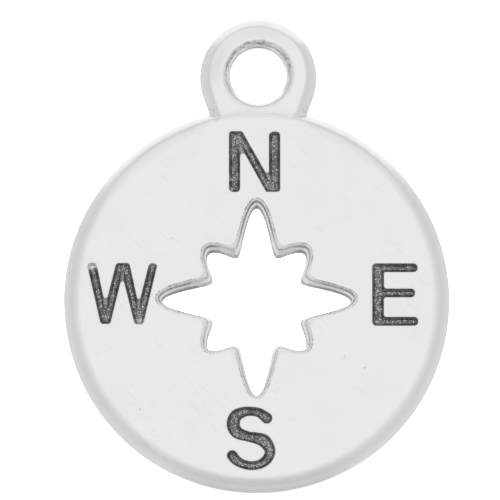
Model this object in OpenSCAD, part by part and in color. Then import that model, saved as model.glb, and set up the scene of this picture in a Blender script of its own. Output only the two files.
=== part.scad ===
// Compass rose charm: a small round casting with an eye to hang it by, an eight-pointed
// rose cut right through it, and the letters N, E, S and W sunk into its face.
// It lies on its flat back: +Z is up out of the face, +Y points from the disc to the eye.
// All sizes are in millimetres.

/* [Disc] */
// Diameter of the round plate
disc_d = 15; // [14:0.1:16]
// Thickness of the plate from back to face
thick = 1.5; // [1.3:0.05:2]
// How far in from the edge the face begins to round down
front_round = 0.64; // [0.3:0.02:0.8]
// Depth of the plate's widest line below its face, as a part of the thickness
front_share = 0.48; // [0.3:0.02:0.5]
// How far in from the edge the back begins to round up
back_round = 0.34; // [0.1:0.02:0.5]
// Height of the back edge's round, as a part of the thickness
back_share = 0.38; // [0.1:0.02:0.45]

/* [Eye] */
// Outer diameter of the eye
eye_d = 4.55; // [4.3:0.05:4.8]
// Diameter of the eye's hole at its narrowest
eye_bore_d = 2.2; // [2:0.02:2.3]
// Distance from the disc's centre up to the eye's centre
eye_up = 8.79; // [8.6:0.01:9]
// How far the eye stands to the right of the disc's centre
eye_right = 0.07; // [0:0.01:0.2]
// How far the eye's face lies below the plate's face
eye_step = 0.08; // [0.02:0.01:0.12]
// How far in from its outer edge the eye's face begins to round down
eye_round = 0.4; // [0.2:0.02:0.5]
// How far out from the eye's hole both its mouths round over
bore_round = 0.3; // [0.1:0.02:0.34]
// How deep the rounds of both mouths are
mouth_depth = 0.4; // [0.2:0.02:0.5]
// Distance between the middles of the two rounds at the foot of the eye's neck
neck_w = 2.52; // [2.2:0.02:2.8]
// How far these rounds stand below the eye's centre
neck_drop = 1.74; // [1.6:0.02:1.9]
// Radius of the rounds at the foot of the neck
neck_r = 0.55; // [0.52:0.01:0.6]

/* [Rose] */
// How far the rose and the letters stand above the disc's centre
rose_up = 0.02; // [0:0.01:0.1]
// Reach of the four long points from the centre to the tip
long_reach = 3.66; // [3.2:0.02:3.8]
// Reach of the four short points from the centre to the tip
short_reach = 2.63; // [2.3:0.01:2.9]
// Half width of a long point, 1 mm in from its tip
long_full = 0.464; // [0.35:0.002:0.6]
// Half width of a short point, 1 mm in from its tip
short_full = 0.612; // [0.45:0.002:0.75]
// How sharp the plate's corners are between the points
valley_power = 7; // [4:0.5:12]
// How far the points widen sideways at their softened front edge
side_flare = 0.24; // [0.1:0.01:0.3]
// How far their tips widen there
tip_flare = 0.3; // [0.1:0.01:0.32]

/* [Letters] */
// Depth of the sunk letters
letter_depth = 0.24; // [0.1:0.02:0.5]
// Distance from the rose's centre to the middle of N and S
letter_up = 5.44; // [5.3:0.02:5.6]
// Distance from the rose's centre to the middle of E and W
letter_side = 5.33; // [5.2:0.01:5.4]

/* [Hidden] */
$fn = 96;
disc_r = disc_d / 2;
eye_r = eye_d / 2;
eye_thick = thick - eye_step;
bore_r = eye_bore_d / 2;
// How far cutters reach past the faces that they open
past = 0.5;
// Half way along the whole charm, measured from the disc's centre
middle_y = (eye_up + eye_r - disc_r) / 2;
// Segments in a quarter round, in a letter's corner and in an eighth of the rose
round_steps = 9;
corner_steps = 6;
rose_steps = 12;
// The letter S follows a curve with this many steps between two of its rows
curve_steps = 4;
// Steps along a rose point's side, and how far from the point's axis the last one lies
side_steps = 40;
side_end = 1.3;
// Where the middle of each letter stands, seen from the rose's centre
n_place = [-0.08, letter_up - 0.09];
s_place = [-0.23, -letter_up - 0.03];
e_place = [letter_side + 0.07, 0.13];
w_place = [0.08 - letter_side, 0.17];

// Rows down the rose's wall: height from the back, part of the flare
rose_wall = [
    [-past, 0.2],
    [0, 0.2],
    [0.2, 0],
    [thick - 0.3, 0.4],
    [thick - 0.08, 0.66],
    [thick, 1],
    [thick + past, 1],
];

// Corners of a letter, from its middle: x, y, corner radius
n_corners = [
    [-1.015, -1.215, 0.17],
    [-1.015, 1.2, 0.14],
    [-0.48, 1.2, 0.11],
    [0.54, -0.6, 0.08],
    [0.54, 1.185, 0.2],
    [1.01, 1.185, 0.17],
    [1.01, -1.21, 0.14],
    [0.435, -1.21, 0.04],
    [-0.55, 0.57, 0.115],
    [-0.55, -1.215, 0.17],
];
w_corners = [
    [-1.375, 1.215, 0.15],
    [-0.97, 1.215, 0.15],
    [-0.625, -0.405, 0.09],
    [-0.22, 1.21, 0.15],
    [0.315, 1.21, 0.14],
    [0.665, -0.36, 0.07],
    [1.065, 1.2, 0.14],
    [1.425, 1.2, 0.14],
    [0.855, -1.22, 0.14],
    [0.5, -1.22, 0.14],
    [0.03, 0.65, 0.08],
    [-0.425, -1.205, 0.14],
    [-0.82, -1.205, 0.15],
];
e_corners = [
    [-0.93, 1.235, 0.17],
    [0.865, 1.235, 0.17],
    [0.865, 0.86, 0.17],
    [-0.44, 0.86, 0.05],
    [-0.44, 0.25, 0.1],
    [0.765, 0.25, 0.17],
    [0.765, -0.125, 0.17],
    [-0.445, -0.125, 0.09],
    [-0.445, -0.855, 0.1],
    [0.885, -0.855, 0.17],
    [0.885, -1.235, 0.17],
    [-0.93, -1.235, 0.17],
];
// Rows along the middle of the letter S: x, y, half width
s_rows = [
    [0.62, 0.785, 0.23],
    [0.33, 0.99, 0.2],
    [0.04, 1.045, 0.19],
    [-0.24, 1.03, 0.21],
    [-0.565, 0.88, 0.255],
    [-0.68, 0.55, 0.27],
    [-0.535, 0.23, 0.255],
    [-0.11, 0.07, 0.215],
    [0.23, 0, 0.24],
    [0.53, -0.12, 0.27],
    [0.745, -0.47, 0.225],
    [0.655, -0.78, 0.215],
    [0.45, -0.965, 0.2],
    [0.22, -1.05, 0.19],
    [-0.04, -1.065, 0.19],
    [-0.34, -0.99, 0.195],
    [-0.57, -0.85, 0.215],
    [-0.72, -0.675, 0.225],
];

// A vector of length one
function unit(v) = v / norm(v);

// A vector turned left by an angle
function turned(v, a) = [v.x * cos(a) - v.y * sin(a), v.x * sin(a) + v.y * cos(a)];

// Points of an elliptical arc from one angle to another
function arc(centre, size, from, to) = [
    for (i = [0:round_steps])
        let (a = from + (to - from) * i / round_steps)
        centre + [size.x * cos(a), size.y * sin(a)]
];

// The round that replaces corner p between its neighbours a and b
function corner(a, p, b, r) =
    let (
        to_a = unit(a - p),
        to_b = unit(b - p),
        half = acos(to_a * to_b) / 2,
        centre = p + unit(to_a + to_b) * r / sin(half),
        start = p + to_a * r / tan(half) - centre,
        side = sign(cross(to_b, to_a))
    )
    [for (i = [0:corner_steps]) centre + turned(start, side * (180 - 2 * half) * i / corner_steps)];

// The outline of a letter from its corners
function rounded(rows) =
    let (n = len(rows), p = [for (row = rows) [row.x, row.y]])
    [for (i = [0:n - 1]) each corner(p[(i + n - 1) % n], p[i], p[(i + 1) % n], rows[i].z)];

// A smooth curve through four rows, a part t of the way from b to c
function between(a, b, c, d, t) =
    0.5 * (2 * b + (c - a) * t + (2 * a - 5 * b + 4 * c - d) * t * t
        + (3 * b - a - 3 * c + d) * t * t * t);

// All rows of a curve that passes through the given ones
function smooth(rows) =
    let (n = len(rows))
    [
        for (i = [0:n - 2], k = [0:curve_steps - 1])
            between(rows[max(i - 1, 0)], rows[i], rows[i + 1], rows[min(i + 2, n - 1)], k / curve_steps),
        rows[n - 1]
    ];

// The outline of a stroke with round ends, from rows along its middle
function stroke(rows) =
    let (
        n = len(rows),
        p = [for (row = rows) [row.x, row.y]],
        ahead = [for (i = [0:n - 1]) unit(p[min(i + 1, n - 1)] - p[max(i - 1, 0)])],
        left = [for (i = [0:n - 1]) turned(ahead[i], 90) * rows[i].z],
        cap = 2 * corner_steps
    )
    [
        for (i = [0:n - 1]) p[i] + left[i],
        for (k = [1:cap - 1]) p[n - 1] + turned(left[n - 1], -180 * k / cap),
        for (i = [n - 1:-1:0]) p[i] - left[i],
        for (k = [1:cap - 1]) p[0] - turned(left[0], -180 * k / cap)
    ];

// The side of a parabola-shaped point as pairs of angle and distance from the centre,
// moved out by a part of the flare
function point_side(reach, full, part) = [
    for (i = [0:side_steps])
        let (
            aside = side_end * pow(i / side_steps, 2),
            out = unit([full * full, 2 * aside]),
            flare = part * [tip_flare * out.x, side_flare * out.y],
            p = [reach - pow(aside / full, 2), aside] + flare
        )
        [atan2(p.y, p.x), norm(p)]
];

// Distance from the centre to the rose's edge at an angle, where both kinds of point are blended
function rose_radius(angle, long_side, short_side) =
    let (
        off = abs((angle + 45) % 90 - 45),
        long = lookup(off, long_side),
        short = lookup(45 - off, short_side)
    )
    pow(pow(long, valley_power) + pow(short, valley_power), 1 / valley_power);

// Angles round the rose, closest together at the tips
rose_angles = [
    for (part = [0:7], i = [0:rose_steps - 1])
        45 * part + 22.5 * (1 - cos(180 * i / rose_steps))
];

// Half the section of a round body whose edge is rounded over from both faces
module soft_section(r, high, top_round) {
    top = [top_round, high * front_share];
    bottom = [back_round, high * back_share];
    polygon(concat(
        [[0, 0]],
        arc([r - bottom.x, bottom.y], bottom, -90, 0),
        arc([r - top.x, high - top.y], top, 0, 90),
        [[0, high]]
    ));
}

// The round plate
module disc_blank() {
    rotate_extrude() soft_section(disc_r, thick, front_round);
}

// The boss that the eye's hole goes through, drawn together with the feet of its neck
module eye_blank() {
    translate([eye_right, eye_up, 0]) hull() {
        rotate_extrude($fn = 64) soft_section(eye_r, eye_thick, eye_round);
        for (side = [-1, 1])
            translate([side * neck_w / 2, -neck_drop, 0])
                rotate_extrude($fn = 32) soft_section(neck_r, eye_thick, eye_round);
    }
}

// The eye's hole: a straight bore between two rounded mouths
module eye_hole() {
    mouth_r = bore_r + bore_round;
    translate([eye_right, eye_up, 0])
        rotate_extrude() polygon(concat(
            [[0, -past], [mouth_r, -past]],
            arc([mouth_r, mouth_depth], [-bore_round, -mouth_depth], 90, 0),
            arc([mouth_r, eye_thick - mouth_depth], [-bore_round, -mouth_depth], 0, -90),
            [[mouth_r, thick + past], [0, thick + past]]
        ));
}

// The eight-pointed opening, softened where it meets the face
module rose_opening() {
    n = len(rose_angles);
    rows = len(rose_wall);
    points = [
        for (row = rose_wall)
            let (
                long_side = point_side(long_reach, long_full, row[1]),
                short_side = point_side(short_reach, short_full, row[1])
            )
            for (a = rose_angles)
                let (r = rose_radius(a, long_side, short_side))
                [r * cos(a), r * sin(a), row[0]]
    ];
    floor_face = [for (i = [0:n - 1]) i];
    roof_face = [for (i = [n - 1:-1:0]) (rows - 1) * n + i];
    walls = [
        for (k = [0:rows - 2], i = [0:n - 1])
            let (here = k * n + i, next = k * n + (i + 1) % n)
            each [[here, here + n, next], [next, here + n, next + n]]
    ];
    polyhedron(points, concat([floor_face, roof_face], walls));
}

// A letter sunk into the face
module sunk(place, outline) {
    translate([place.x, place.y, thick - letter_depth])
        linear_extrude(letter_depth + past) polygon(outline);
}

// The whole casting, its middle over the origin and its back on the ground
module charm() {
    color("silver") translate([0, -middle_y, 0]) difference() {
        union() {
            disc_blank();
            eye_blank();
        }
        eye_hole();
        translate([0, rose_up, 0]) {
            rose_opening();
            sunk(n_place, rounded(n_corners));
            sunk(e_place, rounded(e_corners));
            sunk(s_place, stroke(smooth(s_rows)));
            sunk(w_place, rounded(w_corners));
        }
    }
}

charm();
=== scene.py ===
import math

import bmesh
import bpy
import numpy as np
from mathutils import Euler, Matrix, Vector
from mathutils.geometry import delaunay_2d_cdt


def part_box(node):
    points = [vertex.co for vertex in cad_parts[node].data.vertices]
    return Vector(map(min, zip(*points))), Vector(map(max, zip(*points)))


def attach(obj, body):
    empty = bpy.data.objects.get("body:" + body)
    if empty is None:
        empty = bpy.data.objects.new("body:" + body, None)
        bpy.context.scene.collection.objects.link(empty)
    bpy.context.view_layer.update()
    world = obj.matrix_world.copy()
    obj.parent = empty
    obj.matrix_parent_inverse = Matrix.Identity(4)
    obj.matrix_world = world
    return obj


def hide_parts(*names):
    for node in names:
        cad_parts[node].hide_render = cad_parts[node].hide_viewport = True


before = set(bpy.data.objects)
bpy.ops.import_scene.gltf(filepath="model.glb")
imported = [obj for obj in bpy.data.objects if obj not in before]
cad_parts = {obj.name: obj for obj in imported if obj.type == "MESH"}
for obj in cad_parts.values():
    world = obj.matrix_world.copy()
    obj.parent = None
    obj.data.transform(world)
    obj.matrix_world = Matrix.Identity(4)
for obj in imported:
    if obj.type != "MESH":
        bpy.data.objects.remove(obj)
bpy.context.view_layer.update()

# The charm is drawn in millimetres round the disc's centre and set in its place in metres at the end.
MM = 0.001
low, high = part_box("charm")

# The plate's radius and thickness, and how far its middle stands from the frame's origin along Y
DISC_R = (high.x - low.x) / 2 / MM
THICK = (high.z - low.z) / MM
DISC_Y = low.y / MM + DISC_R
# How far in from the edge the face and the back begin to round over, and how deep each round is
FRONT_ROUND, FRONT_DEPTH = 0.64, 0.48 * THICK
BACK_ROUND, BACK_DEPTH = 0.34, 0.38 * THICK
# Steepness with which the face's round begins, in degrees
FRONT_CREASE = 6

# The eye's ring: its middle, seen from the disc's, and its radius
EYE = np.array([0.066, 8.765])
EYE_R = 2.275
# The eye's hole, which sits a little above the middle of the ring
BORE = np.array([0.065, 8.825])
BORE_R = 1.1
# How far out from the eye's hole its face begins to round over
BORE_LIP = 0.34
# How far the eye's face and back lie inside the plate's
EYE_STEP, EYE_BACK_STEP = 0.1, 0.02
# The eye's edge: how far in it begins to round over, how deep that round is and how steeply it begins
EYE_ROUND, EYE_DEPTH, EYE_CREASE = 0.4, 0.68, 20
# The level part of the eye's face stands this far left of and above the ring's middle
EYE_FACE_SHIFT = np.array([-0.03, 0.03])
# The round at the eye's back: how far in it begins and how deep it is
EYE_BACK_ROUND, EYE_BACK_DEPTH = 0.3, 0.5
# How much the ring's face falls away from the hole to the edge, and on which side of the hole
EYE_DOME, EYE_FALL = 0.19, (-0.5, 0.87, 0)

# Near the neck the plate's front round has only this share of its width, up to the first of these angles
# from north. From the second on it has its full width.
STEEP_SHARE, STEEP_ANGLES = 0.62, (14, 22)
# Line along which the neck's face rises to the plate's: its radius, how much nearer to the plate's middle it
# comes 1 mm to the side, and how far to the sides it is whole and where it ends
JOINT_R, JOINT_BEND = 7.22, 0.005
JOINT_FULL, JOINT_END = 1.38, 1.5
# The rise up to that line is this wide. From the line, which lies this deep, a round of this width leads to
# the plate's face, and further in the neck's face sinks below it by this slope.
JOINT_WIDTH, JOINT_DEPTH, JOINT_ROUND, JOINT_FALL = 0.22, 0.034, 0.25, 0.05
# Where the face is bent along the joint, measured outwards from the line
JOINT_STEPS = (-0.32, -0.25, -0.18, -0.12, -0.06, -0.015, 0, 0.015, 0.055, 0.11, 0.165, 0.22)
# The neck's two rounded feet, sunk in the plate: radius, and place sideways and up from the eye's centre
NECK_R = 0.55
NECK_SIDE, NECK_DROP = 1.225, -1.74

# Rose: reach and fullness of its long and short points, and how sharp the metal is between them
LONG_REACH, SHORT_REACH = 3.66, 2.63
LONG_FULL, SHORT_FULL = 0.464, 0.612
VALLEY_POWER = 7.0
# How far the rose widens at its lip, at the tips and beside them
TIP_FLARE, SIDE_FLARE = 0.3, 0.245
# The upper lip of the east point lies this much nearer to its axis, between the second and the third of
# these angles round the rose. This fades out to the first and the last.
EAST_NARROW, EAST_ANGLES = 0.065, (3, 8, 19, 22.5)
# Distances from the rose's centre over which the darkening comes back outside its worn inner corners
VALLEY_WEAR = 2.35, 2.75
# Where the rose's centre stands, seen from the disc's
ROSE = np.array([0.0, 0.016])

# Letters: their depth, how far their walls lean in from lip to floor, and the sharpest corner of a floor
LETTER_DEPTH = 0.24
LETTER_SLOPE = 0.125
SHARPEST = 0.015
# Blackening on a letter's floor
FLOOR_STAIN = 1.06
# Where the letters' middles stand, seen from the rose's centre
N_PLACE, S_PLACE = (-0.08, 5.35), (-0.23, -5.47)
E_PLACE, W_PLACE = (5.4, 0.137), (-5.25, 0.175)

# Spots where the darkening is raised or lowered: place from the disc's centre, radius and change.
# It is raised at the neck's corners and lowered on the N and on the W.
SPOTS = [
    (-1.71, 7.45, 0.08, 0.08), (-1.66, 7.34, 0.07, 0.09), (1.88, 7.55, 0.09, 0.07),
    (1.83, 7.38, 0.09, 0.12), (-1.55, 7.0, 0.11, 0.11), (-1.02, 4.29, 0.09, -1.7),
    (-1.05, 4.68, 0.07, -1.7), (-6.4, 1.34, 0.17, -1.5), (-4.05, 1.36, 0.1, -1.4),
    (-4.58, -0.86, 0.14, -0.7),
]

# Spacing of points along the outlines, round a letter's corners, along its sides and the neck's, and over
# the face, the back and a letter's floor
EDGE_SPACING = 0.07
CORNER_SPACING = EDGE_SPACING / 2
LETTER_SPACING = EDGE_SPACING * 1.25
NECK_SPACING = 0.04
FACE_SPACING = 0.14
BACK_SPACING = 0.5
FLOOR_SPACING = 0.035

# Brightness of the surroundings at angles from straight above, in degrees
SIDES_GLOW = [
    (0, 0.92), (10, 0.907), (18, 0.875), (30, 0.8), (50, 0.725), (68, 0.682), (94, 0.72), (128, 0.755),
    (180, 0.76),
]
NORTH_GLOW = [
    (0, 0.92), (7, 0.913), (14, 0.89), (28, 0.865), (46, 0.84), (60, 0.79), (70, 0.69), (76, 0.685),
    (84, 0.84), (94, 0.95), (112, 0.99), (135, 1.05), (180, 0.9),
]
SOUTH_GLOW = [
    (0, 0.92), (20, 0.91), (27, 0.86), (34, 0.76), (47, 0.66), (80, 0.61), (101, 0.67), (131, 0.6),
    (180, 0.62),
]
# Cosines of the angle off north between which the north's table takes over, and the south's
NORTH_FROM, SOUTH_FROM = (0.64, 0.8), (-0.8, -0.96)
# How far the bright side stands to the left of north, in degrees
STUDIO_TURN = 2.0
# The lamp: its power in watts, and its width and height in metres
LAMP_WATTS, LAMP_WIDTH, LAMP_HEIGHT = 5.0, 0.06, 0.6

# Colours
SILVER_BRIGHT = (0.93, 0.93, 0.93, 1)
SILVER_DULL = (0.87, 0.87, 0.87, 1)
BLACKENING = (0.06, 0.06, 0.06, 1)
RECESS_BLACK = (0.12, 0.12, 0.12, 1)
RECESS_WORN = (0.5, 0.5, 0.5, 1)
CARD_WHITE = (0.96, 0.96, 0.96, 1)
CARD_SHADE = (0.93, 0.93, 0.93, 1)
# How much of the blackening the silver's hairlines, pits and its tarnish with painted shade take on at most
HAIRLINE_DARK, PIT_DARK, TARNISH_AND_SHADE_DARK = 0.035, 0.25, 0.85
# The hairlines' turn from east in radians, and their width as a share of their length
HAIRLINE_TURN, HAIRLINE_WIDTH = -0.7, 0.2

# The card: half its width and how far under the charm it lies, in metres, and how much it glows
FLOOR_HALF = 0.15
FLOOR_GAP = 0.00001
CARD_GLOW = 0.85

# The picture's width in pixels, its scale and where the middle of the disc's face shows in it
FRAME_PX = 500
PX_PER_MM = 25.74
FACE_PX = (256.7, 298.4)
# The camera's tilt in degrees, its distance and the width of its sensor in millimetres
TILT = 6.8
DISTANCE = 400.0
SENSOR = 36

# Distance within which the edges of walls and sheets are one
WELD = 0.0004
# Area in square millimetres under which a stretch between an outline's points is none of the sheet
SLIVER = 0.0001

# Corners of a letter, from its middle: x, y, corner radius
N_CORNERS = [
    (-1.015, -1.215, 0.17), (-1.015, 1.2, 0.14), (-0.48, 1.2, 0.11), (0.54, -0.6, 0.08),
    (0.54, 1.185, 0.2), (1.01, 1.185, 0.17), (1.01, -1.21, 0.14), (0.435, -1.21, 0.04),
    (-0.55, 0.57, 0.115), (-0.55, -1.215, 0.17),
]
W_CORNERS = [
    (-1.375, 1.215, 0.15), (-0.97, 1.215, 0.15), (-0.625, -0.405, 0.09), (-0.22, 1.21, 0.15),
    (0.315, 1.21, 0.14), (0.665, -0.36, 0.07), (1.065, 1.2, 0.14), (1.425, 1.2, 0.14),
    (0.855, -1.22, 0.14), (0.5, -1.22, 0.14), (0.03, 0.65, 0.08), (-0.425, -1.205, 0.14),
    (-0.82, -1.205, 0.15),
]
E_CORNERS = [
    (-0.93, 1.235, 0.17), (0.865, 1.235, 0.17), (0.865, 0.86, 0.17), (-0.44, 0.86, 0.05),
    (-0.44, 0.25, 0.1), (0.765, 0.25, 0.17), (0.765, -0.125, 0.17), (-0.445, -0.125, 0.09),
    (-0.445, -0.855, 0.1), (0.885, -0.855, 0.17), (0.885, -1.235, 0.17), (-0.93, -1.235, 0.17),
]
# Rows along the middle of the letter S: x, y, half width
S_ROWS = [
    (0.62, 0.785, 0.23), (0.33, 0.99, 0.2), (0.04, 1.045, 0.19), (-0.24, 1.03, 0.21),
    (-0.565, 0.88, 0.255), (-0.68, 0.55, 0.27), (-0.535, 0.23, 0.255), (-0.11, 0.07, 0.215),
    (0.23, 0, 0.24), (0.53, -0.12, 0.27), (0.745, -0.47, 0.225), (0.655, -0.78, 0.215),
    (0.45, -0.965, 0.2), (0.22, -1.05, 0.19), (-0.04, -1.065, 0.19), (-0.34, -0.99, 0.195),
    (-0.57, -0.85, 0.215), (-0.72, -0.675, 0.225),
]


def unit(v):
    return v / np.linalg.norm(v)


def arc(centre, radius, start, end, steps):
    """Points of an arc, angles in degrees, both ends included."""
    a = np.radians(np.linspace(start, end, steps + 1))
    return np.array(centre) + radius * np.stack([np.cos(a), np.sin(a)], 1)


def bearing(v):
    return math.degrees(math.atan2(v[1], v[0]))


def linked(runs, gaps, spacing):
    """A closed ring of runs of points, with even steps along the straight gaps after each of them."""
    points = []
    for run, after, gap in zip(runs, runs[1:] + runs[:1], gaps):
        steps = max(2, round(gap / spacing))
        points.extend(run)
        points.extend(run[-1] + (after[0] - run[-1]) * k / steps for k in range(1, steps))
    return np.array(points)


def disc_outline(inset):
    """The plate's edge, moved in by inset, and by only a share of it near the neck."""
    steps = round(2 * math.pi * DISC_R / EDGE_SPACING)
    ring = arc((0, 0), 1, 0, 360, steps)[:-1]
    off_north = np.degrees(abs(np.arctan2(ring[:, 0], ring[:, 1])))
    share = np.interp(off_north, STEEP_ANGLES, (STEEP_SHARE, 1))
    return ring * (DISC_R - inset * share)[:, None]


def eye_outline(inset):
    """The outline of the eye and its neck, moved in by inset: three rounds with straight sides between."""
    right, left = EYE + (NECK_SIDE, NECK_DROP), EYE + (-NECK_SIDE, NECK_DROP)
    gap = math.hypot(NECK_SIDE, NECK_DROP)
    slant = bearing(right - EYE) + math.degrees(math.acos((EYE_R - NECK_R) / gap))
    side = math.sqrt(gap**2 - (EYE_R - NECK_R)**2)
    foot_steps = 20
    eye_steps = round(math.radians(180 - 2 * slant) * EYE_R / EDGE_SPACING)
    runs = [
        arc(EYE, EYE_R - inset, slant, 180 - slant, eye_steps),
        arc(left, NECK_R - inset, 180 - slant, 270, foot_steps),
        arc(right, NECK_R - inset, 270, 360 + slant, foot_steps),
    ]
    return linked(runs, (side, 2 * NECK_SIDE, side), NECK_SPACING)


def bore_outline(radius):
    steps = round(2 * math.pi * BORE_R / EDGE_SPACING)
    return arc(BORE, radius, 0, 360, steps)[:-1]


def joint_line(outward):
    """Points along the line where the neck's face rises to the plate's, moved outward."""
    x = np.arange(-NECK_SIDE, NECK_SIDE, EDGE_SPACING)
    radius = JOINT_R - JOINT_BEND * x**2 + outward
    return np.stack([x, np.sqrt(radius**2 - x**2)], 1)


def point_side(angle, reach, full, flared):
    """Distance from the centre to a parabola-shaped point's side, moved out by a part of the flare."""
    steps, end = 200, 1.3
    v = end * (np.arange(steps + 1) / steps)**2
    out = np.stack([np.full(steps + 1, full**2), 2 * v])
    out /= np.linalg.norm(out, axis=0)
    along = reach - (v / full)**2 + flared * TIP_FLARE * out[0]
    aside = v + flared * SIDE_FLARE * out[1]
    return np.interp(angle, np.arctan2(aside, along), np.hypot(along, aside))


def rose_outline(flared):
    """The rose's edge, from 0 at its narrowest to 1 at its lip: points blended by a power mean."""
    steps = 26
    part = 22.5 * (1 - np.cos(np.pi * np.arange(steps) / steps))
    angles = np.concatenate([part + 45 * k for k in range(8)])
    off = np.radians(abs((angles + 45) % 90 - 45))
    long_side = point_side(off, LONG_REACH, LONG_FULL, flared)
    short_side = point_side(math.pi / 4 - off, SHORT_REACH, SHORT_FULL, flared)
    radius = (long_side**VALLEY_POWER + short_side**VALLEY_POWER) ** (1 / VALLEY_POWER)
    a = np.radians(angles)
    outline = ROSE + radius[:, None] * np.stack([np.cos(a), np.sin(a)], 1)
    outline[:, 1] -= flared * EAST_NARROW * np.interp(angles, EAST_ANGLES, (0, 1, 1, 0))
    return outline


def letter_outline(rows, place, inset):
    """The outline of a cornered letter, moved in by inset, anticlockwise."""
    p = np.array([row[:2] for row in rows])[::-1]
    radii = [row[2] for row in rows][::-1]
    n = len(p)
    ahead = [unit(p[(i + 1) % n] - p[i]) for i in range(n)]
    inward = [np.array([-d[1], d[0]]) for d in ahead]
    runs = []
    for i in range(n):
        before, after = ahead[i - 1], ahead[i]
        turn = before[0] * after[1] - before[1] * after[0]
        mitre = (inward[i - 1] + inward[i]) / (1 + inward[i - 1] @ inward[i])
        corner = p[i] + mitre * inset
        radius = max(radii[i] - inset, SHARPEST) if turn > 0 else radii[i]
        half = math.acos(float(np.clip(-before @ after, -1, 1))) / 2
        centre = corner + unit(after - before) * radius / math.sin(half)
        start = corner - before * radius / math.tan(half) - centre
        sweep = math.copysign(math.pi - 2 * half, turn)
        steps = max(3, round(abs(sweep) * radii[i] / CORNER_SPACING))
        angles = np.linspace(0, sweep, steps + 1)
        turned = np.stack([
            start[0] * np.cos(angles) - start[1] * np.sin(angles),
            start[0] * np.sin(angles) + start[1] * np.cos(angles),
        ], 1)
        runs.append(centre + turned)
    gaps = [np.linalg.norm(p[(i + 1) % n] - p[i]) for i in range(n)]
    return linked(runs, gaps, LETTER_SPACING) + ROSE + place


def smooth_rows(rows, steps=8):
    """A smooth curve through all rows."""
    r = np.array(rows)
    r = np.concatenate([r[:1], r, r[-1:]])
    out = []
    for i in range(len(r) - 3):
        a, b, c, d = r[i:i + 4]
        for t in np.arange(steps) / steps:
            out.append(0.5 * (2 * b + (c - a) * t + (2 * a - 5 * b + 4 * c - d) * t**2
                              + (3 * b - a - 3 * c + d) * t**3))
    out.append(r[-2])
    return np.array(out)


def stroke_outline(rows, place, inset):
    """The outline of a stroke with round ends, moved in by inset, anticlockwise."""
    r = smooth_rows(rows)
    p, half = r[:, :2], r[:, 2] - inset
    ahead = np.gradient(p, axis=0)
    ahead /= np.linalg.norm(ahead, axis=1)[:, None]
    right = np.stack([ahead[:, 1], -ahead[:, 0]], 1)
    cap = 12
    first = bearing(right[0])
    last = bearing(right[-1])
    return np.concatenate([
        p + right * half[:, None],
        arc(p[-1], half[-1], last, last + 180, cap)[1:-1],
        (p - right * half[:, None])[::-1],
        arc(p[0], half[0], first - 180, first, cap)[1:-1],
    ]) + ROSE + place


def quarter(across, down, steps, start=(0.0, 0.0), crease=0.0):
    """Rows of a quarter round from a level face to an upright wall, which may begin with a crease."""
    first = math.radians(crease)
    rows = []
    for k in range(steps + 1):
        a = first + (math.pi / 2 - first) * k / steps
        part = (math.sin(a) - math.sin(first)) / (1 - math.sin(first))
        rows.append((start[0] + across * part, start[1] + down * (1 - math.cos(a) / math.cos(first))))
    return rows


def footed(across, down, steps, start):
    """Rows of a quarter round from an upright wall to a level foot."""
    turns = [math.pi / 2 * k / steps for k in range(steps + 1)]
    return [(start[0] + across * (1 - math.cos(a)), start[1] + down * math.sin(a)) for a in turns]


def with_stain_and_shade(rows, stain):
    """Adds to each row the darkening that it holds, blackening and painted shade, read off a short table of
    depth and darkening.
    """
    depths, holds = zip(*stain)
    return [(across, down, float(np.interp(down, depths, holds))) for across, down in rows]


def disc_section():
    """Down the plate's edge. Across runs from 0, where the face rounds over, to 1, at the widest."""
    back = BACK_ROUND / FRONT_ROUND
    rows = [(-0.12, 0.0)]
    rows += quarter(1, FRONT_DEPTH, 18, crease=FRONT_CREASE)
    rows.append((1, (FRONT_DEPTH + THICK - BACK_DEPTH) / 2))
    rows += footed(-back, BACK_DEPTH, 9, (1, THICK - BACK_DEPTH))
    rows.append((1 - back * 1.3, THICK))
    return with_stain_and_shade(rows, [(0, 0), (THICK, 0)])


def eye_section():
    """Down the eye's outer edge. Across runs from 0, where its face rounds over, to 1, at the widest."""
    back = EYE_BACK_ROUND / EYE_ROUND
    foot = THICK - EYE_STEP - EYE_BACK_STEP
    rows = [(-0.15, 0.0)]
    rows += quarter(1, EYE_DEPTH, 14, crease=EYE_CREASE)
    rows.append((1, (EYE_DEPTH + foot - EYE_BACK_DEPTH) / 2))
    rows += footed(-back, EYE_BACK_DEPTH, 8, (1, foot - EYE_BACK_DEPTH))
    rows.append((1 - back * 1.3, foot))
    return with_stain_and_shade(rows, [(0, 0), (0.3, 0.06), (0.6, 0.12), (foot, 0)])


def bore_section():
    """Down the eye's hole. Across runs from 0, where the eye's face rounds over, to 1, at the narrowest."""
    foot = THICK - EYE_STEP - EYE_BACK_STEP
    narrowest = 0.64
    rows = [(-0.15, 0.0)]
    rows += quarter(0.6, 0.17, 8, crease=10)
    rows += [(0.65, 0.22), (0.76, 0.29), (0.88, 0.38), (0.96, 0.47), (1.0, 0.56), (1.0, narrowest)]
    rows += footed(-0.7, foot - narrowest, 8, (1.0, narrowest))[1:]
    rows.append((0.2, foot))
    return with_stain_and_shade(rows, [
        (0, 0), (0.03, 0.12), (0.1, 0.25), (0.18, 0.5), (0.23, 0.45), (0.3, 0.1), (0.46, 0.05), (0.54, 0.8),
        (0.62, 0.9), (0.68, 0.2), (foot, 0),
    ])


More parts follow.
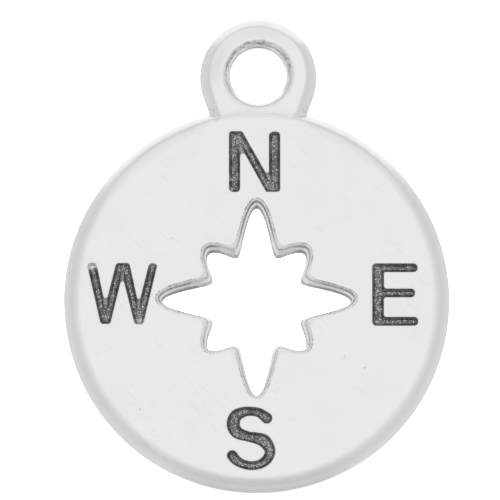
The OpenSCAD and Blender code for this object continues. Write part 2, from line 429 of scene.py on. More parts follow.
def rose_section():
    """Down the rose's wall. Across runs from 0, at its lip, to 1, at the narrowest."""
    rows = [(-0.25, 0.0)]
    rows += quarter(0.56, 0.15, 8, crease=24)
    rows += [
        (0.57, 0.18), (0.58, 0.22), (0.6, 0.28), (0.64, 0.4), (0.69, 0.55), (0.75, 0.7), (0.8, 0.8),
        (0.85, 0.9), (0.91, 1.05), (0.96, 1.16), (1.0, 1.28), (1.0, 1.38), (0.95, 1.46), (0.85, THICK),
        (0.5, THICK),
    ]
    # The darkening down this wall is partly blackening and partly painted shade: dark lines at the lip and
    # the crease, and the wall darker low down.
    return with_stain_and_shade(rows, [
        (0, 0), (0.003, 1.0), (0.011, 0.55), (0.025, 0.12), (0.067, 0.08), (0.093, 0.6), (0.15, 1.1),
        (0.28, 0.9), (0.4, 0.1), (0.55, 0), (0.78, 0), (0.84, 1.1), (0.93, 1.9), (1.3, 2.2), (1.42, 1.5),
        (THICK, 0),
    ])


def letter_section():
    """Down a letter's wall. Across runs from 0, at its lip, to 1, on the floor."""
    rows = [(-0.3, 0.0)]
    rows += quarter(0.22, 0.03, 3)
    rows += [(0.4, 0.1), (0.62, 0.17), (0.8, 0.215), (1.0, LETTER_DEPTH)]
    return with_stain_and_shade(rows, [(0, 0), (0.015, 0.27), (0.1, 0.2), (0.17, 0.24), (LETTER_DEPTH, 1.2)])


def make_object(name, data):
    piece = bpy.data.objects.new(name, data)
    bpy.context.scene.collection.objects.link(piece)
    return piece


class Wiring:
    """Shorthand for a node tree. Most calls add a node, feed its inputs and hand back its output."""

    def __init__(self, tree):
        self.tree = tree

    def add(self, kind, inputs=None, **settings):
        node = self.tree.nodes.new(kind)
        for key, value in settings.items():
            setattr(node, key, value)
        self.feed(node, inputs or {})
        return node

    def feed(self, node, inputs):
        """Wires each input to an output or sets it to a value."""
        for key, value in inputs.items():
            if isinstance(value, bpy.types.NodeSocket):
                self.tree.links.new(value, node.inputs[key])
            else:
                node.inputs[key].default_value = value

    def math(self, how, a, b=0.0, c=0.0, clamp=False):
        return self.add("ShaderNodeMath", {0: a, 1: b, 2: c}, operation=how, use_clamp=clamp).outputs[0]

    def times(self, a, b):
        return self.math("MULTIPLY", a, b)

    def minus(self, a, b):
        return self.math("SUBTRACT", a, b)

    def split(self, a):
        return self.add("ShaderNodeSeparateXYZ", {0: a}).outputs

    def stain_and_shade_kept(self, geometry, value):
        """The geometry with its darkening, of blackening and painted shade, kept on its points."""
        inputs = {"Geometry": geometry, "Name": "stain", "Value": value}
        kept = self.add("GeometryNodeStoreNamedAttribute", inputs, data_type="FLOAT", domain="POINT")
        return kept.outputs[0]

    def vector(self, how, a, b=(0, 0, 0)):
        node = self.add("ShaderNodeVectorMath", {0: a, 1: b}, operation=how)
        return node.outputs["Value" if how in ("LENGTH", "DOT_PRODUCT") else "Vector"]

    def scaled(self, a, factor):
        return self.add("ShaderNodeVectorMath", {0: a, "Scale": factor}, operation="SCALE").outputs[0]

    def ramp(self, value, start, end, low=0.0, high=1.0):
        """Goes smoothly from low to high as value goes from start to end."""
        inputs = {"Value": value, "From Min": start, "From Max": end, "To Min": low, "To Max": high}
        return self.add("ShaderNodeMapRange", inputs, interpolation_type="SMOOTHSTEP").outputs[0]

    def noise(self, place, scale, seed=0.0, detail=2.0, rough=0.5, out=0):
        inputs = {"Vector": place, "W": seed, "Scale": scale, "Detail": detail, "Roughness": rough}
        return self.add("ShaderNodeTexNoise", inputs, noise_dimensions="4D").outputs[out]

    def blend_values(self, factor, a, b):
        """A number between two others."""
        return self.math("MULTIPLY_ADD", self.minus(b, a), factor, a)

    def blend(self, factor, a, b):
        """A colour between two others."""
        first_colour, second_colour, mixed_colour = 6, 7, 2
        inputs = {"Factor": factor, first_colour: a, second_colour: b}
        return self.add("ShaderNodeMix", inputs, data_type="RGBA").outputs[mixed_colour]


def new_group(name, kind, inputs, outputs):
    """An empty node group with named sockets: its wiring, given values, output node and input ids."""
    tree = bpy.data.node_groups.new(name, kind)
    ids = {}
    for label, sort, default in inputs:
        made = tree.interface.new_socket(name=label, in_out="INPUT", socket_type="NodeSocket" + sort)
        if default is not None:
            made.default_value = default
        ids[label] = made.identifier
    for label, sort in outputs:
        tree.interface.new_socket(name=label, in_out="OUTPUT", socket_type="NodeSocket" + sort)
    w = Wiring(tree)
    return w, w.add("NodeGroupInput").outputs, w.add("NodeGroupOutput"), ids


def soft_wall_tree():
    """Runs a section of rows down from a closed outline, whose attribute foot leads to its other end."""
    w, given, result, ids = new_group("soft wall along an outline", "GeometryNodeTree", [
        ("Outline", "Geometry", None),
        ("Section", "Object", None),
        ("Points", "Int", 100),
        ("Rows", "Int", 10),
        ("Weld", "Float", 0.00005),
        ("Finish", "Material", None),
    ], [("Wall", "Geometry")])
    turns = w.math("ADD", given["Points"], 1)
    grid = w.add("GeometryNodeMeshGrid", {"Vertices X": given["Rows"], "Vertices Y": turns})
    index = w.add("GeometryNodeInputIndex").outputs[0]
    row = w.math("FLOOR", w.math("DIVIDE", w.math("ADD", index, 0.5), turns))
    column = w.math("MODULO", w.minus(index, w.times(row, turns)), given["Points"])
    section = w.add("GeometryNodeObjectInfo", {"Object": given["Section"]})

    def sample(geometry, value, at):
        inputs = {"Geometry": geometry, "Value": value, "Index": at}
        return w.add("GeometryNodeSampleIndex", inputs, data_type="FLOAT_VECTOR").outputs["Value"]

    place = w.add("GeometryNodeInputPosition").outputs[0]
    foot = w.add("GeometryNodeInputNamedAttribute", {"Name": "foot"}, data_type="FLOAT_VECTOR")
    start = sample(given["Outline"], place, column)
    leg = sample(given["Outline"], foot.outputs["Attribute"], column)
    profile = w.split(sample(section.outputs["Geometry"], place, row))
    down = w.add("ShaderNodeCombineXYZ", {"Z": profile["Z"]}).outputs[0]
    moved = w.vector("ADD", w.vector("ADD", start, w.scaled(leg, profile["X"])), down)
    shaped = w.add("GeometryNodeSetPosition", {"Geometry": grid.outputs["Mesh"], "Position": moved})
    stain_and_shade_kept = w.stain_and_shade_kept(shaped.outputs[0], profile["Y"])
    inputs = {"Geometry": stain_and_shade_kept, "Distance": given["Weld"]}
    welded = w.add("GeometryNodeMergeByDistance", inputs).outputs[0]
    real = w.add("GeometryNodeRealizeInstances", {"Geometry": welded}).outputs[0]
    finish = w.add("GeometryNodeSetMaterial", {"Geometry": real, "Material": given["Finish"]}).outputs[0]
    w.feed(result, {"Wall": finish})
    return w.tree, ids


def casting_skin_tree():
    """Casts the eye onto the plate, gives both the unevenness of a casting and sets all in its place."""
    w, given, result, ids = new_group("casting skin", "GeometryNodeTree", [
        ("Casting", "Geometry", None),
        ("Eye", "Object", None),
        ("Unevenness", "Float", 0.01),
        ("Unevenness Size", "Float", 2.5),
        ("Wobble", "Float", 0.01),
        ("Wobble Size", "Float", 0.2),
        ("Grain", "Float", 0.02),
        ("Grain Size", "Float", 0.09),
        ("Eye Dome", "Float", 0.02),
        ("Joint Depth", "Float", 0.03),
        # Painted light: the share of the darkening kept on surfaces that face the bright north
        ("Lit Side Darkening", "Float", 0.4),
        ("Valley Darkening", "Float", 0.3),
        ("Face Height", "Float", 1.5),
        ("Seed", "Float", 4.0),
        ("Place", "Vector", (0, 0, 0)),
        ("Unit", "Float", 0.001),
        ("Recess", "Material", None),
        ("Finish", "Material", None),
    ], [("Casting", "Geometry")])
    eye = w.add("GeometryNodeObjectInfo", {"Object": given["Eye"]}).outputs["Geometry"]
    place = w.add("GeometryNodeInputPosition").outputs[0]
    xyz = w.split(place)
    flat_place = w.add("ShaderNodeCombineXYZ", {"X": xyz["X"], "Y": xyz["Y"]}).outputs[0]
    # From 0 low down on the walls to 1 near the face
    top = w.ramp(xyz["Z"], THICK * 0.3, THICK * 0.9)
    # The neck's face rises to the joint line, rounds over into the plate's face and sinks below it
    bend = w.times(w.times(xyz["X"], xyz["X"]), JOINT_BEND)
    reach = w.math("ADD", w.vector("LENGTH", flat_place), bend)
    to_line = w.minus(JOINT_R, reach)
    fillet = w.math("MULTIPLY_ADD", to_line, 1 / JOINT_WIDTH, 1.0, clamp=True)
    inner = w.math("MULTIPLY_ADD", to_line, -1 / JOINT_ROUND, 1.0, clamp=True)
    lowered = w.times(given["Joint Depth"], -1.0)
    level = w.math("MULTIPLY_ADD", w.times(inner, inner), lowered, EYE_STEP)
    sunk = w.times(w.math("MAXIMUM", w.minus(to_line, JOINT_ROUND), 0.0), -JOINT_FALL)
    rise = w.math("MULTIPLY_ADD", w.times(fillet, fillet), level, sunk)
    sideways = w.math("ABSOLUTE", w.minus(xyz["X"], EYE[0]))
    rise = w.times(rise, w.ramp(sideways, JOINT_END, JOINT_FULL))
    rise = w.times(rise, top)
    rise = w.add("ShaderNodeCombineXYZ", {"Z": rise}).outputs[0]
    eye = w.add("GeometryNodeSetPosition", {"Geometry": eye, "Offset": rise}).outputs[0]
    # Both bodies become one, whose seam stays sharp
    union = w.add("GeometryNodeMeshBoolean", operation="UNION", solver="EXACT")
    bodies = w.add("GeometryNodeJoinGeometry")
    for body in (eye, given["Casting"]):
        w.tree.links.new(body, union.inputs["Mesh 2"])
        w.tree.links.new(body, bodies.inputs[0])
    seamed = w.add("GeometryNodeSetShadeSmooth",
                   {"Geometry": union.outputs["Mesh"], "Selection": union.outputs["Intersecting Edges"],
                    "Shade Smooth": False}, domain="EDGE").outputs[0]
    normal = w.add("GeometryNodeInputNormal").outputs[0]
    in_recess = w.add("GeometryNodeMaterialSelection", {"Material": given["Recess"]}).outputs[0]
    # The one body takes over the blackening and painted shade of both. As painted light, surfaces that face
    # the bright north keep less of it, and less is kept round the rose's worn inner corners
    both = bodies.outputs[0]
    nearest = w.add("GeometryNodeSampleNearest", {"Geometry": both, "Sample Position": place}).outputs[0]
    stain = w.add("GeometryNodeInputNamedAttribute", {"Name": "stain"}, data_type="FLOAT").outputs[0]
    kept = w.add("GeometryNodeSampleIndex", {"Geometry": both, "Value": stain, "Index": nearest}).outputs[0]
    faces_north = w.split(normal)["Y"]
    lit_side_and_wear = w.ramp(faces_north, -0.5, 0.6, 1.0, given["Lit Side Darkening"])
    off_rose = w.vector("LENGTH", w.vector("SUBTRACT", flat_place, (*ROSE, 0)))
    lit_side_and_wear = w.times(lit_side_and_wear, w.ramp(off_rose, *VALLEY_WEAR, given["Valley Darkening"], 1.0))
    lit_side_and_wear = w.math("MAXIMUM", lit_side_and_wear, in_recess)
    stain_and_shade_kept = w.stain_and_shade_kept(seamed, w.times(kept, lit_side_and_wear))
    # Unevenness all over, a wobble on the walls and a rough grain on the letters' floors
    depth = w.minus(given["Face Height"], xyz["Z"])
    off_floor = w.ramp(xyz["Z"], 0.0, 0.1)
    on_wall = w.times(w.ramp(depth, 0.0, 0.05), off_floor)

    def centred(size, seed_shift, out=0):
        seed = w.math("ADD", given["Seed"], seed_shift)
        found = w.noise(place, w.math("DIVIDE", 1.0, size), seed, out=out)
        if out:
            return w.vector("SUBTRACT", found, (0.5, 0.5, 0.5))
        return w.minus(found, 0.5)

    broad = w.times(centred(given["Unevenness Size"], 0.0), given["Unevenness"])
    broad = w.times(broad, off_floor)
    wobble = w.scaled(centred(given["Wobble Size"], 1.7, out=1), w.times(given["Wobble"], on_wall))
    pitted = w.times(w.ramp(depth, 0.1, 0.22), in_recess)
    grain = w.times(centred(given["Grain Size"], 3.1), given["Grain"])
    grain = w.times(grain, pitted)
    # The ring's face falls away on one side of its hole
    from_eye = w.vector("SUBTRACT", flat_place, (*EYE, 0))
    outward = w.vector("DOT_PRODUCT", from_eye, EYE_FALL)
    fall = w.times(w.ramp(w.vector("LENGTH", from_eye), BORE_R, EYE_R), w.ramp(outward, 0.0, 1.5))
    drop = w.times(w.times(fall, top), given["Eye Dome"])
    lift = w.add("ShaderNodeCombineXYZ", {"Z": w.minus(grain, drop)}).outputs[0]
    offset = w.vector("ADD", w.vector("ADD", w.scaled(normal, broad), wobble), lift)
    uneven = w.add("GeometryNodeSetPosition", {"Geometry": stain_and_shade_kept, "Offset": offset})
    size = w.add("ShaderNodeCombineXYZ", {"X": given["Unit"], "Y": given["Unit"], "Z": given["Unit"]})
    placed = w.add("GeometryNodeTransform",
                   {"Geometry": uneven.outputs[0], "Translation": given["Place"], "Scale": size.outputs[0]})
    real = w.add("GeometryNodeRealizeInstances", {"Geometry": placed.outputs[0]})
    plain = w.add("FunctionNodeBooleanMath", {0: in_recess}, operation="NOT").outputs[0]
    inputs = {"Geometry": real.outputs[0], "Selection": plain, "Material": given["Finish"]}
    w.feed(result, {"Casting": w.add("GeometryNodeSetMaterial", inputs).outputs[0]})
    return w.tree, ids


def apply_tree(holder, tree_and_ids, values, name):
    """Runs a tree on an object with the named values and gives back the plain mesh."""
    tree, ids = tree_and_ids
    modifier = holder.modifiers.new(tree.name, "NODES")
    modifier.node_group = tree
    for label, value in values.items():
        modifier[ids[label]] = value
    graph = bpy.context.evaluated_depsgraph_get()
    mesh = bpy.data.meshes.new_from_object(holder.evaluated_get(graph))
    mesh.name = name
    bpy.data.objects.remove(holder)
    return mesh


def outline_mesh(points, height, foot):
    """A closed ring of points, with the way to its foot kept as an attribute."""
    n = len(points)
    mesh = bpy.data.meshes.new("outline")
    mesh.from_pydata([(x, y, height) for x, y in points], [(i, (i + 1) % n) for i in range(n)], [])
    way = np.concatenate([foot - points, np.zeros((n, 1))], 1)
    mesh.attributes.new("foot", "FLOAT_VECTOR", "POINT").data.foreach_set("vector", way.ravel())
    return mesh


def section_mesh(rows):
    """A section as a chain of points: x is the part across, y the darkening, of blackening and painted
    shade, and z the height.
    """
    mesh = bpy.data.meshes.new("section")
    mesh.from_pydata([(across, stain, -down) for across, down, stain in rows], [], [])
    return mesh


def wall(name, start, foot, rows, finish, height=THICK):
    """A wall run down from an outline by the soft wall tree, as a plain mesh."""
    section = make_object(name + "_section", section_mesh(rows))
    values = {"Section": section, "Points": len(start), "Rows": len(rows), "Finish": finish}
    mesh = apply_tree(make_object(name, outline_mesh(start, height, foot)), soft_wall, values, name)
    bpy.data.objects.remove(section)
    return mesh


def ring_at(start, foot, row):
    """The ring of points that a wall has at one row of its section."""
    return start + (foot - start) * row[0]


def inside(points, ring):
    """Which of the points lie inside a closed ring."""
    x, y = points[:, 0][:, None], points[:, 1][:, None]
    ax, ay = ring[:, 0][None], ring[:, 1][None]
    bx, by = np.roll(ring[:, 0], -1)[None], np.roll(ring[:, 1], -1)[None]
    crosses = ((ay > y) != (by > y)) & (x < (bx - ax) * (y - ay) / (by - ay + 1e-12) + ax)
    return crosses.sum(1) % 2 == 1


def clear_of(points, rings, gap):
    """Which of the points keep a gap from every ring."""
    parts = 4
    near = np.concatenate([
        ring + (np.roll(ring, -1, 0) - ring) * k / parts for ring in rings for k in range(parts)
    ])
    far = np.ones(len(points), bool)
    block = 500
    for start in range(0, len(points), block):
        some = points[start:start + block]
        nearest = ((some[:, None] - near[None]) ** 2).sum(2).min(1)
        far[start:start + block] = nearest > gap * gap
    return far


def spread(outer, holes, lines, spacing):
    """Points in even rows between outlines, clear of their edges and of the lines between them."""
    free_gap = 0.55 * spacing
    lowest, highest = outer.min(0), outer.max(0)
    levels = np.arange(lowest[1], highest[1], spacing * math.sqrt(3) / 2)
    points = np.array([
        (x + (k % 2) * spacing / 2, y)
        for k, y in enumerate(levels) for x in np.arange(lowest[0], highest[0], spacing)
    ])
    points = points[inside(points, outer)]
    for hole in holes:
        points = points[~inside(points, hole)]
    return points[clear_of(points, [outer, *holes, *lines], free_gap)]


def fenced_regions(triangles, fences):
    """The groups of triangles that can be reached from each other without crossing a fence."""
    beside = {}
    for index, (a, b, c) in enumerate(triangles.tolist()):
        for edge in ((a, b), (b, c), (c, a)):
            beside.setdefault(tuple(sorted(edge)), []).append(index)
    neighbours = [[] for _ in range(len(triangles))]
    for edge, pair in beside.items():
        if len(pair) == 2 and edge not in fences:
            neighbours[pair[0]].append(pair[1])
            neighbours[pair[1]].append(pair[0])
    seen = [False] * len(triangles)
    for start in range(len(triangles)):
        if seen[start]:
            continue
        region, front = [], [start]
        seen[start] = True
        while front:
            here = front.pop()
            region.append(here)
            for other in neighbours[here]:
                if not seen[other]:
                    seen[other] = True
                    front.append(other)
        yield region


def sheet(name, outer, holes, spacing, height, stain, finish, faces_up=True, lines=()):
    """A flat sheet between outlines, with points spread inside it and along the lines."""
    rings = [outer, *holes]
    lines = [line[inside(line, outer) & clear_of(line, rings, EDGE_SPACING / 2)] for line in lines]
    points = np.concatenate([*rings, *lines, spread(outer, holes, lines, spacing)])
    edges = []
    start = 0
    for ring in rings:
        edges += [(start + i, start + (i + 1) % len(ring)) for i in range(len(ring))]
        start += len(ring)
    whole_hull, same_point = 0, 1e-6
    found = delaunay_2d_cdt([Vector(p) for p in points], edges, [], whole_hull, same_point)
    points, triangles = np.array(found[0]), np.array(found[2])
    fences = {tuple(sorted(edge)) for edge, came_from in zip(found[1], found[4]) if came_from}
    kept = np.zeros(len(triangles), bool)
    for region in fenced_regions(triangles, fences):
        corners = points[triangles[region]]
        sides = corners[:, 1:] - corners[:, :1]
        areas = abs(sides[:, 0, 0] * sides[:, 1, 1] - sides[:, 0, 1] * sides[:, 1, 0])
        middle = corners[areas.argmax()].mean(0)[None]
        holed = any(inside(middle, hole)[0] for hole in holes)
        kept[region] = areas.sum() > SLIVER and inside(middle, outer)[0] and not holed
    mesh = bpy.data.meshes.new(name)
    turned = triangles[kept] if faces_up else triangles[kept][:, ::-1]
    mesh.from_pydata([(x, y, height) for x, y in points], [], turned.tolist())
    held = mesh.attributes.new("stain", "FLOAT", "POINT")
    held.data.foreach_set("value", np.full(len(mesh.vertices), stain))
    mesh.materials.append(finish)
    return mesh


def joined(name, meshes, weld):
    """One closed mesh from several that share their edges."""
    work = bmesh.new()
    materials = []
    for mesh in meshes:
        first = len(work.faces)
        work.from_mesh(mesh)
        work.faces.ensure_lookup_table()
        own = list(mesh.materials)
        materials += [m for m in own if m and m not in materials]
        for face in work.faces[first:]:
            face.material_index = materials.index(own[face.material_index])
    bmesh.ops.remove_doubles(work, verts=work.verts, dist=weld)
    bmesh.ops.recalc_face_normals(work, faces=work.faces)
    whole = bpy.data.meshes.new(name)
    work.to_mesh(whole)
    work.free()
    for m in materials:
        whole.materials.append(m)
    whole.polygons.foreach_set("use_smooth", np.ones(len(whole.polygons), bool))
    return whole


# Finishes. Their patterns are measured in millimetres on the charm's own coordinates.

def cast_surface_group():
    """Faint clouds, fine grain, a few pits and patches of hairlines, as on a satin casting."""
    w, given, result, _ = new_group("cast surface", "ShaderNodeTree", [
        ("Place", "Vector", None),
        ("Cloud Size", "Float", 1.6),
        ("Grain Size", "Float", 0.09),
        ("Pit Share", "Float", 0.3),
    ], [("Cloud", "Float"), ("Grain", "Float"), ("Pits", "Float"), ("Hairlines", "Float")])
    cloud = w.noise(given["Place"], w.math("DIVIDE", 1.0, given["Cloud Size"]), 1.0, 4.0, 0.55)
    grain = w.noise(given["Place"], w.math("DIVIDE", 1.0, given["Grain Size"]), 5.0, 3.0, 0.6)
    cells = w.add("ShaderNodeTexVoronoi", {"Vector": given["Place"], "Scale": 1.5}).outputs
    spot = w.ramp(cells["Distance"], 0.02, 0.07, 1.0, 0.0)
    drawn = w.add("ShaderNodeSeparateColor", {0: cells["Color"]}).outputs[0]
    chosen = w.math("LESS_THAN", drawn, given["Pit Share"])
    along = {"Vector": given["Place"], "Rotation": (0, 0, HAIRLINE_TURN), "Scale": (1, HAIRLINE_WIDTH, 1)}
    drawn_out = w.add("ShaderNodeMapping", along, vector_type="TEXTURE").outputs[0]
    strokes = w.ramp(w.noise(drawn_out, 1.6, 8.0, 3.0, 0.6), 0.56, 0.64)
    scuffed = w.ramp(w.noise(given["Place"], 0.7, 12.0, 1.0), 0.5, 0.6)
    hairlines = w.times(strokes, scuffed)
    pits = w.times(spot, chosen)
    w.feed(result, {"Cloud": cloud, "Grain": grain, "Pits": pits, "Hairlines": hairlines})
    return w.tree


def tarnish_and_shade_group():
    """Breaks a smooth darkening, of blackening and painted shade, into an uneven one, as blackening holds in
    the low places of a casting.
    """
    w, given, result, _ = new_group("tarnish_and_shade", "ShaderNodeTree", [
        ("Place", "Vector", None),
        ("Stain And Shade", "Float", 0.0),
        ("Patch Size", "Float", 0.35),
        ("Streak Share", "Float", 0.5),
        ("Speck Size", "Float", 0.07),
        ("Speck Share", "Float", 0.5),
        ("Breakup", "Float", 0.7),
    ], [("Dark", "Float")])
    patches = w.ramp(w.noise(given["Place"], w.math("DIVIDE", 1.0, given["Patch Size"]), 9.0), 0.3, 0.7)
    drawn_out = w.vector("MULTIPLY", given["Place"], (2.4, 2.4, 5.0))
    streaks = w.ramp(w.noise(drawn_out, 1.0, 4.0, 3.0, 0.6), 0.38, 0.62)
    patches = w.blend_values(given["Streak Share"], patches, streaks)
    fine = w.noise(given["Place"], w.math("DIVIDE", 1.0, given["Speck Size"]), 2.0, 1.0)
    specks = w.ramp(fine, 0.32, 0.68)
    both = w.minus(w.blend_values(given["Speck Share"], patches, specks), 0.5)
    shifted = w.math("MULTIPLY_ADD", both, given["Breakup"], given["Stain And Shade"])
    bound = w.math("MULTIPLY", shifted, w.ramp(given["Stain And Shade"], 0.0, 0.2), clamp=True)
    w.feed(result, {"Dark": bound})
    return w.tree


def grouped(w, tree, inputs):
    return w.add("ShaderNodeGroup", inputs, node_tree=tree).outputs


def new_finish(name):
    """A material with its wiring, its shader and the place on the charm in millimetres."""
    material = bpy.data.materials.new(name)
    material.use_nodes = True
    w = Wiring(material.node_tree)
    shader = material.node_tree.nodes["Principled BSDF"]
    coordinates = w.add("ShaderNodeTexCoord").outputs["Object"]
    place = w.add("ShaderNodeMapping", {"Vector": coordinates, "Scale": (1000, 1000, 1000)}).outputs[0]
    return material, w, shader, place


def relief(w, shader, height):
    """Bumps from a height in millimetres."""
    bump = w.add("ShaderNodeBump", {"Height": height, "Distance": MM, "Strength": 1.0})
    w.feed(shader, {"Normal": bump.outputs[0]})


def satin_silver():
    material, w, shader, place = new_finish("satin_silver")
    cast = grouped(w, cast_surface, {"Place": place, "Cloud Size": 1.6, "Grain Size": 0.09})
    stain = w.add("ShaderNodeAttribute", attribute_name="stain").outputs["Fac"]
    dark = grouped(w, tarnish_and_shade, {"Place": place, "Stain And Shade": stain, "Patch Size": 0.11, "Speck Size": 0.045,
                                "Streak Share": 0.45, "Speck Share": 0.4, "Breakup": 1.4})["Dark"]
    clean = w.blend(cast["Cloud"], SILVER_DULL, SILVER_BRIGHT)
    scuffed = w.blend(w.times(cast["Hairlines"], HAIRLINE_DARK), clean, BLACKENING)
    pitted = w.blend(w.times(cast["Pits"], PIT_DARK), scuffed, BLACKENING)
    tarnished_and_shaded = w.blend(w.times(dark, TARNISH_AND_SHADE_DARK), pitted, BLACKENING)
    roughness = w.ramp(cast["Grain"], 0.3, 0.7, 0.18, 0.26)
    w.feed(shader, {"Base Color": tarnished_and_shaded, "Roughness": roughness, "Metallic": 1.0})
    height = w.times(cast["Grain"], 0.0012)
    height = w.math("MULTIPLY_ADD", cast["Cloud"], 0.006, height)
    height = w.math("MULTIPLY_ADD", cast["Pits"], -0.01, height)
    relief(w, shader, height)
    return material


def blackened_recess():
    material, w, shader, place = new_finish("blackened_recess")
    cast = grouped(w, cast_surface, {"Place": place, "Cloud Size": 0.5, "Grain Size": 0.06})
    stain = w.add("ShaderNodeAttribute", attribute_name="stain").outputs["Fac"]
    dark = grouped(w, tarnish_and_shade, {"Place": place, "Stain And Shade": stain, "Patch Size": 0.3, "Speck Size": 0.042,
                                "Streak Share": 0.2, "Speck Share": 0.6, "Breakup": 1.8})["Dark"]
    worn = w.blend(dark, RECESS_WORN, RECESS_BLACK)
    flecks = w.noise(place, 20.0, 6.0, 1.0)
    bare = w.times(w.ramp(flecks, 0.58, 0.66), w.ramp(stain, 1.2, 1.05))
    bare = w.math("MAXIMUM", bare, w.ramp(stain, 0.16, 0.04))
    colour = w.blend(bare, worn, SILVER_DULL)
    roughness = w.ramp(cast["Grain"], 0.3, 0.7, 0.25, 0.4)
    w.feed(shader, {"Base Color": colour, "Roughness": roughness, "Metallic": 0.95})
    relief(w, shader, w.times(cast["Grain"], 0.012))
    return material


def touch_up(mesh):
    """Changes the darkening near each spot, fading out from half its radius to one and a half times it."""
    points = np.empty(len(mesh.vertices) * 3)
    mesh.vertices.foreach_get("co", points)
    points = points.reshape(-1, 3)[:, :2] / MM - (0, DISC_Y)
    stain = mesh.attributes["stain"].data
    values = np.empty(len(points))
    stain.foreach_get("value", values)
    for x, y, radius, change in SPOTS:
        near = np.clip(1.5 - np.linalg.norm(points - (x, y), axis=1) / radius, 0, 1)
        values += change * near
    stain.foreach_set("value", np.maximum(values, 0))


def build_disc():
    """The plate with its rose and letters, as one closed body in millimetres."""
    edge_rows, rose_rows, letter_rows = disc_section(), rose_section(), letter_section()
    edge = disc_outline(FRONT_ROUND), disc_outline(0.0)
    rose = rose_outline(1.0), rose_outline(0.0)
    letters = [
        ("letter_n", letter_outline, N_CORNERS, N_PLACE),
        ("letter_e", letter_outline, E_CORNERS, E_PLACE),
        ("letter_s", stroke_outline, S_ROWS, S_PLACE),
        ("letter_w", letter_outline, W_CORNERS, W_PLACE),
    ]
    meshes = [
        wall("disc_edge", *edge, edge_rows, silver),
        wall("rose", *rose, rose_rows, silver),
    ]
    face_holes = [ring_at(*rose, rose_rows[0])]
    for name, draw, rows, place in letters:
        outlines = draw(rows, place, 0.0), draw(rows, place, LETTER_SLOPE)
        meshes.append(wall(name, *outlines, letter_rows, blackening))
        meshes.append(sheet(name + "_floor", ring_at(*outlines, letter_rows[-1]), [],
                            FLOOR_SPACING, THICK - LETTER_DEPTH, FLOOR_STAIN, blackening))
        face_holes.append(ring_at(*outlines, letter_rows[0]))
    back_holes = [ring_at(*rose, rose_rows[-1])]
    meshes.append(sheet("face", ring_at(*edge, edge_rows[0]), face_holes, FACE_SPACING, THICK, 0.0, silver))
    meshes.append(sheet("back", ring_at(*edge, edge_rows[-1]), back_holes, BACK_SPACING, 0.0, 0.0, silver,
                        faces_up=False))
    return joined("disc", meshes, WELD)


def build_eye():
    """The eye with its hole and neck, as one closed body in millimetres."""
    edge_rows, bore_rows = eye_section(), bore_section()
    edge = eye_outline(EYE_ROUND) + EYE_FACE_SHIFT, eye_outline(0.0)
    bore = bore_outline(BORE_R + BORE_LIP), bore_outline(BORE_R)
    face = THICK - EYE_STEP
    return joined("eye", [
        wall("eye_edge", *edge, edge_rows, silver, face),
        wall("eye_hole", *bore, bore_rows, silver, face),
        sheet("eye_face", ring_at(*edge, edge_rows[0]), [ring_at(*bore, bore_rows[0])], FACE_SPACING, face,
              0.0, silver, lines=[joint_line(step) for step in JOINT_STEPS]),
        sheet("eye_back", ring_at(*edge, edge_rows[-1]), [ring_at(*bore, bore_rows[-1])], BACK_SPACING,
              EYE_BACK_STEP, 0.0, silver, faces_up=False),
    ], WELD)


def build_floor():
    """A plain white sheet to lie on, lit through from below."""
    mesh = bpy.data.meshes.new("floor")
    corners = [(x * FLOOR_HALF, y * FLOOR_HALF, -FLOOR_GAP) for x, y in ((-1, -1), (1, -1), (1, 1), (-1, 1))]
    mesh.from_pydata(corners, [], [(0, 1, 2, 3)])
    material, w, shader, place = new_finish("white_card")
    fibres = w.noise(place, 2.0, 0.0, 3.0)
    w.feed(shader, {
        "Base Color": w.blend(fibres, CARD_SHADE, CARD_WHITE),
        "Roughness": 0.9,
        "Specular IOR Level": 0.1,
        "Emission Color": (1, 1, 1, 1),
        "Emission Strength": CARD_GLOW,
    })
    mesh.materials.append(material)
    return make_object("floor", mesh)


def light_world():
    """Soft white surroundings with a brighter north, a darker south and a dim band above the horizon."""
    world = bpy.data.worlds.new("studio")
    bpy.context.scene.world = world
    world.use_nodes = True
    w = Wiring(world.node_tree)
    looked_at = w.add("ShaderNodeTexCoord").outputs["Generated"]
    inputs = {"Vector": looked_at, "Angle": math.radians(-STUDIO_TURN)}
    turned = w.add("ShaderNodeVectorRotate", inputs, rotation_type="Z_AXIS").outputs[0]
    way = w.split(turned)
    off_top = w.math("ARCCOSINE", way["Z"])
    level = w.math("SQRT", w.minus(1.0, w.times(way["Z"], way["Z"])))
    north = w.math("DIVIDE", way["Y"], w.math("MAXIMUM", level, 0.01))

    def glow_along(stops):
        """The brightness read off one of the tables. A curve ends at 1, so it holds half of each value."""
        curve = w.add("ShaderNodeFloatCurve", {"Value": w.math("DIVIDE", off_top, math.pi)})
        points = curve.mapping.curves[0].points
        points[0].location = (0, stops[0][1] / 2)
        points[1].location = (1, stops[-1][1] / 2)
        for angle, value in stops[1:-1]:
            points.new(angle / 180, value / 2)
        curve.mapping.update()
        return w.times(curve.outputs[0], 2.0)

    glow = w.blend_values(w.ramp(north, *NORTH_FROM), glow_along(SIDES_GLOW), glow_along(NORTH_GLOW))
    glow = w.blend_values(w.ramp(north, *SOUTH_FROM), glow, glow_along(SOUTH_GLOW))
    seen = w.blend_values(w.add("ShaderNodeLightPath").outputs["Is Camera Ray"], glow, 1.0)
    w.feed(world.node_tree.nodes["Background"], {"Color": (1, 1, 1, 1), "Strength": seen})
    # They are mirrored in the silver and light nothing else
    world.cycles_visibility.diffuse = False


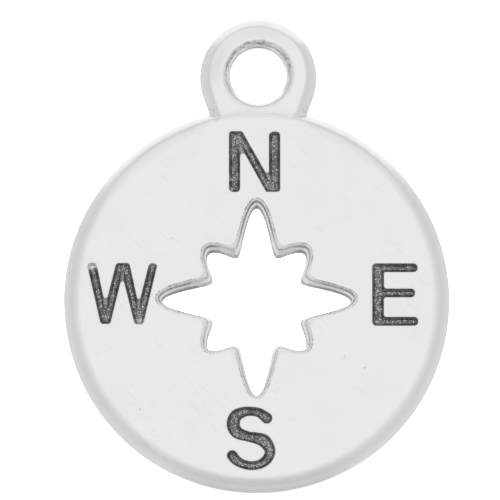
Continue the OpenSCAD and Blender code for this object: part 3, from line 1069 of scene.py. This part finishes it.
def light_above():
    """A broad soft lamp over the charm, which whitens the card and isn't mirrored in the silver."""
    lamp = bpy.data.lights.new("overhead", "AREA")
    lamp.shape = "DISK"
    lamp.size = LAMP_WIDTH
    lamp.energy = LAMP_WATTS
    holder = make_object("overhead", lamp)
    holder.location = (0, 0, LAMP_HEIGHT)
    holder.visible_glossy = False


def place_camera():
    """Looks down on the charm, tilted a little to the south."""
    data = bpy.data.cameras.new("camera")
    data.sensor_width = SENSOR
    data.lens = SENSOR * DISTANCE * PX_PER_MM / FRAME_PX
    data.clip_start, data.clip_end = 0.01, 2
    camera = make_object("camera", data)
    tilt = math.radians(TILT)
    right = (FRAME_PX / 2 - FACE_PX[0]) / PX_PER_MM
    up = (FACE_PX[1] - FRAME_PX / 2) / PX_PER_MM / math.cos(tilt)
    aim = Vector((right, DISC_Y + up, THICK))
    camera.location = (aim + DISTANCE * Vector((0, -math.sin(tilt), math.cos(tilt)))) * MM
    camera.rotation_euler = Euler((tilt, 0, 0))
    bpy.context.scene.camera = camera


cast_surface = cast_surface_group()
tarnish_and_shade = tarnish_and_shade_group()
silver = satin_silver()
blackening = blackened_recess()
soft_wall = soft_wall_tree()

eye = make_object("eye", build_eye())
skin = {
    "Eye": eye,
    "Unevenness": 0.01,
    "Unevenness Size": 2.5,
    "Wobble": 0.024,
    "Wobble Size": 0.16,
    "Grain": 0.03,
    "Grain Size": 0.09,
    "Eye Dome": EYE_DOME,
    "Joint Depth": JOINT_DEPTH,
    # Painted light: surfaces that face the bright north keep this share of the darkening
    "Lit Side Darkening": 0.25,
    "Valley Darkening": 0.25,
    "Face Height": THICK,
    "Seed": 4.0,
    "Place": (0, DISC_Y * MM, 0),
    "Unit": MM,
    "Recess": blackening,
    "Finish": silver,
}
plate = make_object("plate", build_disc())
charm = make_object("silver_charm", apply_tree(plate, casting_skin_tree(), skin, "silver_charm"))
bpy.data.objects.remove(eye)
touch_up(charm.data)
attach(charm, "root")
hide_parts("charm")

card = build_floor()
# The silver doesn't mirror the card
card.visible_glossy = False
light_world()
light_above()
bpy.context.scene.view_settings.view_transform = "Standard"
place_camera()
